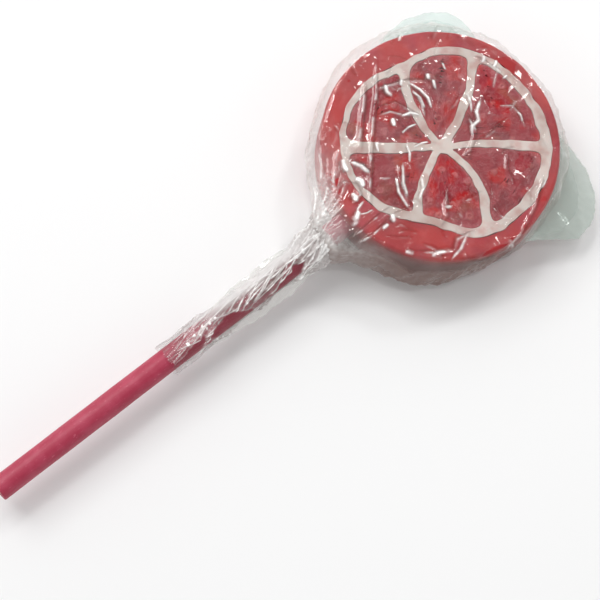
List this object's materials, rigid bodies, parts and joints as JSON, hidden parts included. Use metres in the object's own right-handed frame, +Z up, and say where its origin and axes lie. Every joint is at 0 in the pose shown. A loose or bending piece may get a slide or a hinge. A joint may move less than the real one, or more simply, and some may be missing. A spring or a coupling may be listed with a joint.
{
  "type": "lollipop",
  "caption": "Round boiled-sugar lollipop patterned as a citrus slice, on a pink paper stick, in clear film twisted round the stick, lying face up",
  "frame": {"origin": "on the floor under the centre of the candy disc, on the flat underside of the wrapper", "axes": "-Y along the stick towards its free end, +Z up out of the patterned face, +X to the right with the stick towards the viewer"},
  "size_m": [0.0613, 0.1421, 0.0144],
  "materials": {
    "rind_sugar": "opaque red boiled sugar, glossy, slightly uneven",
    "pith_sugar": "milky off-white boiled sugar, satin",
    "segment_sugar": "ruby boiled sugar, part clear, with paler streaks and small bubbles",
    "stick_paper": "rolled crimson-pink paper, matte with a soft sheen",
    "film": "thin clear crinkled film, glossy"
  },
  "bodies": {
    "root": {"rind": "rind_sugar", "pith": "pith_sugar", "segment_1": "segment_sugar", "segment_2": "segment_sugar", "segment_3": "segment_sugar", "segment_4": "segment_sugar", "segment_5": "segment_sugar", "segment_6": "segment_sugar", "stick": "stick_paper", "wrapper": "film"}
  },
  "joints": []
}
